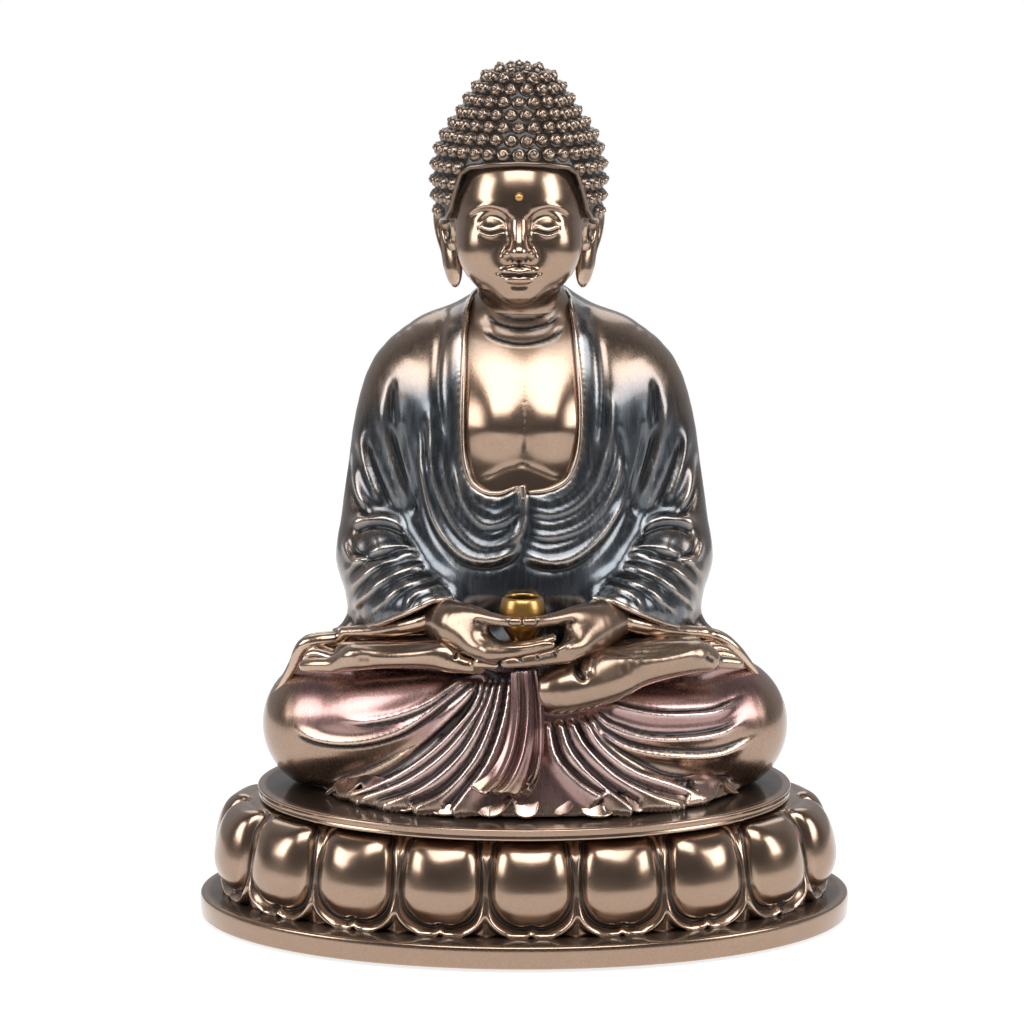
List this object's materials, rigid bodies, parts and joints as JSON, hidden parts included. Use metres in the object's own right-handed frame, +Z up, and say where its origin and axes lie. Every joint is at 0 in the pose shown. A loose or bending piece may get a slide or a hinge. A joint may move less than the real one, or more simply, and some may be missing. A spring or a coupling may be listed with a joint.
{
  "type": "buddha statue",
  "caption": "Seated Buddha in meditation on an oval lotus pedestal, in bronze with a blue robe and rose skirt, holding a gilt bowl that lifts out.",
  "frame": {"origin": "centre of the face it stands on", "axes": "+Z up, the statue looks along -Y, its left hand is towards +X"},
  "size_m": [0.1882, 0.1346, 0.2495],
  "materials": {
    "bronze": "satin",
    "robe_blue": "satin",
    "skirt_rose": "satin",
    "gold": "satin",
    "felt": "matte",
    "steel": "satin"
  },
  "bodies": {
    "statue": {"base_felt": "felt", "plinth": "bronze", "lotus_ring": "bronze", "seat_disc": "bronze", "dowel_left": "steel", "dowel_right": "steel", "lap": "skirt_rose", "hem_frill": "skirt_rose", "skirt_flap": "skirt_rose", "left_foot": "bronze", "right_foot": "bronze", "left_drape": "bronze", "right_drape": "bronze", "torso": "robe_blue", "chest": "bronze", "collar": "robe_blue", "left_sleeve": "robe_blue", "right_sleeve": "robe_blue", "left_hand": "bronze", "right_hand": "bronze", "neck_dowel": "steel", "head": "bronze", "hair": "bronze", "left_ear": "bronze", "right_ear": "bronze", "urna_bead": "gold"},
    "bowl": {"bowl": "gold"}
  },
  "joints": [
    {"name": "bowl_lift", "type": "slide", "parent": "statue", "child": "bowl", "axis": [0, 0, 1], "range_m": [0, 0.03]}
  ]
}
